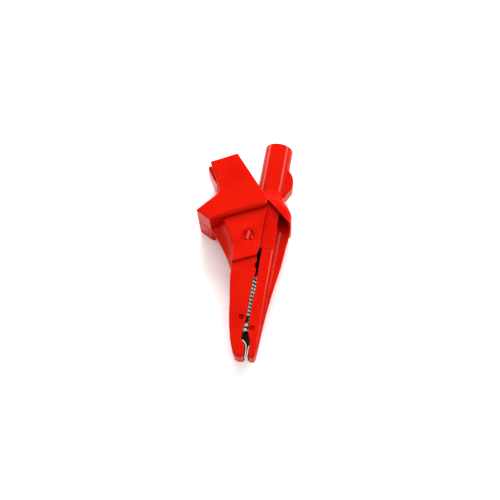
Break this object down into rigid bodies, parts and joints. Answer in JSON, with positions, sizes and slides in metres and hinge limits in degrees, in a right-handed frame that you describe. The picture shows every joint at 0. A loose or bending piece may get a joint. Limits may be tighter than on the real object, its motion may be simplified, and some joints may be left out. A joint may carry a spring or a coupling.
{
  "type": "insulated alligator clip",
  "caption": "Fully insulated alligator clip: lever, sprung toothed jaws and a socket tube that takes a 4 mm shrouded plug.",
  "frame": {"origin": "centre of the metal sleeve's mouth, where a plug's pin enters", "axes": "+Y out of the socket along its bore, -Y to the jaw tips, +X from the lever across to the finger lug, +Z through the clip's thickness"},
  "size_m": [0.038, 0.0932, 0.0206],
  "materials": {
    "red_housing": "satin-gloss moulded plastic",
    "red_shell": "satin-gloss moulded plastic",
    "red_cap": "satin-gloss moulded plastic",
    "contact_metal": "nickel-plated sheet",
    "sleeve_metal": "nickel-plated brass",
    "spring_steel": "drawn spring steel"
  },
  "bodies": {
    "housing": {"socket_housing": "red_housing", "fixed_contact_jaw": "contact_metal", "socket_sleeve": "sleeve_metal", "contact_rivet": "sleeve_metal", "spacer_bush": "sleeve_metal", "fixed_jaw_pin": "red_cap", "torsion_spring": "spring_steel"},
    "lever": {"lever_shell_upper": "red_shell", "lever_shell_lower": "red_shell", "moving_contact_jaw": "contact_metal", "pivot_pin": "spring_steel", "pivot_cap_upper": "red_cap", "pivot_cap_lower": "red_cap", "moving_jaw_pin": "red_cap"}
  },
  "joints": [
    {"name": "lever_pivot", "type": "hinge", "parent": "housing", "child": "lever", "pos_m": [-0.005, -0.043, 0], "axis": [0, 0, -1], "range_deg": [0, 28], "stiffness_Nm_per_rad": 0.25, "springref_deg": -34.38, "deforming": ["torsion_spring"]}
  ]
}
